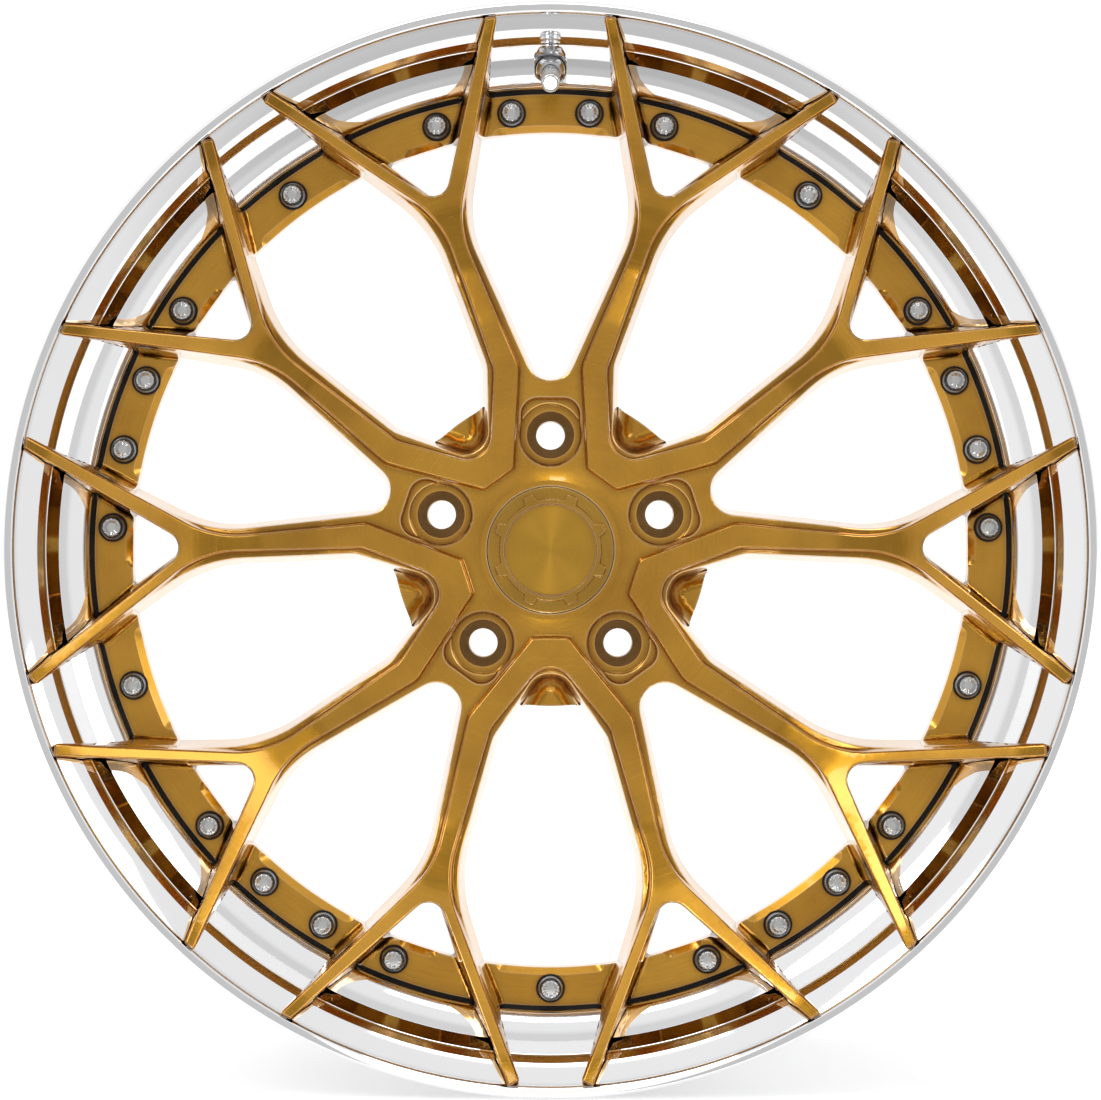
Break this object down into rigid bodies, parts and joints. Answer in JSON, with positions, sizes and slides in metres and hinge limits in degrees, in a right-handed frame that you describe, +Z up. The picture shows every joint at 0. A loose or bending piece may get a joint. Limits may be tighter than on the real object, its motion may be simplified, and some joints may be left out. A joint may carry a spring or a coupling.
{
  "type": "forged racing wheel rim",
  "caption": "Two-piece forged road and track wheel rim: forked bronze spokes bolted into a polished stepped-lip barrel, with centre cap and valve.",
  "frame": {"origin": "centre of the wheel: on the axle line, half way across the rim width", "axes": "+Y along the axle towards the vehicle, so the face looks along -Y; +Z up through the tyre valve; +X to the right seen from the face"},
  "size_m": [0.5474, 0.2926, 0.5474],
  "materials": {
    "polished_barrel": "mirror polished",
    "bronze_candy": "brushed, bronze gold candy coat",
    "sealant": "matt black sealant",
    "bolt_steel": "satin stainless",
    "washer_black": "black oxide",
    "nut_steel": "zinc plated",
    "cap_bronze": "satin bronze gold",
    "cap_disc": "circular brushed bronze gold",
    "spring_wire": "spring steel",
    "oring_rubber": "moulded rubber",
    "valve_chrome": "polished chrome",
    "valve_rubber": "moulded rubber",
    "valve_washer_steel": "polished",
    "valve_nut_chrome": "polished chrome",
    "core_brass": "turned brass",
    "core_ptfe": "PTFE",
    "pin_brass": "turned brass",
    "core_rubber": "moulded rubber",
    "core_spring_steel": "spring steel",
    "valve_cap_chrome": "polished chrome",
    "cap_gasket_rubber": "moulded rubber"
  },
  "bodies": {
    "wheel": {"barrel": "polished_barrel", "centre_disc": "bronze_candy", "sealant_ring": "sealant", "assembly_bolts": "bolt_steel", "assembly_washers": "washer_black", "assembly_nuts": "nut_steel", "valve_stem": "valve_chrome", "valve_grommet": "valve_rubber", "valve_washer": "valve_washer_steel", "valve_nut": "valve_nut_chrome", "core_body": "core_brass", "core_gasket": "core_ptfe"},
    "centre_cap": {"cap_shell": "cap_bronze", "cap_badge": "cap_disc", "cap_wire": "spring_wire", "cap_oring": "oring_rubber"},
    "valve_core_pin": {"core_pin": "pin_brass", "core_seal": "core_rubber", "core_spring": "core_spring_steel"},
    "valve_cap_thread": {"valve_cap_gasket": "cap_gasket_rubber"},
    "valve_cap_body": {"valve_cap": "valve_cap_chrome"}
  },
  "joints": [
    {"name": "centre_cap_pull", "type": "slide", "parent": "wheel", "child": "centre_cap", "axis": [0, -1, 0], "range_m": [0, 0.025]},
    {"name": "valve_pin_press", "type": "slide", "parent": "wheel", "child": "valve_core_pin", "axis": [0, 0.9397, 0.342], "range_m": [0, 0.0012], "stiffness_N_per_m": 2500, "springref_m": -0.0015, "deforming": ["core_spring"]},
    {"name": "valve_cap_advance", "type": "slide", "parent": "wheel", "child": "valve_cap_thread", "axis": [0, -0.9397, -0.342], "range_m": [0, 0.008]},
    {"name": "valve_cap_turn", "type": "hinge", "parent": "valve_cap_thread", "child": "valve_cap_body", "pos_m": [0, -0.12824, 0.23736], "axis": [0, -0.9397, -0.342], "range_deg": [0, 3600]}
  ],
  "couplings": [
    {"joint": "valve_cap_advance", "follows": "valve_cap_turn", "m_per_rad": 0.00012633}
  ]
}
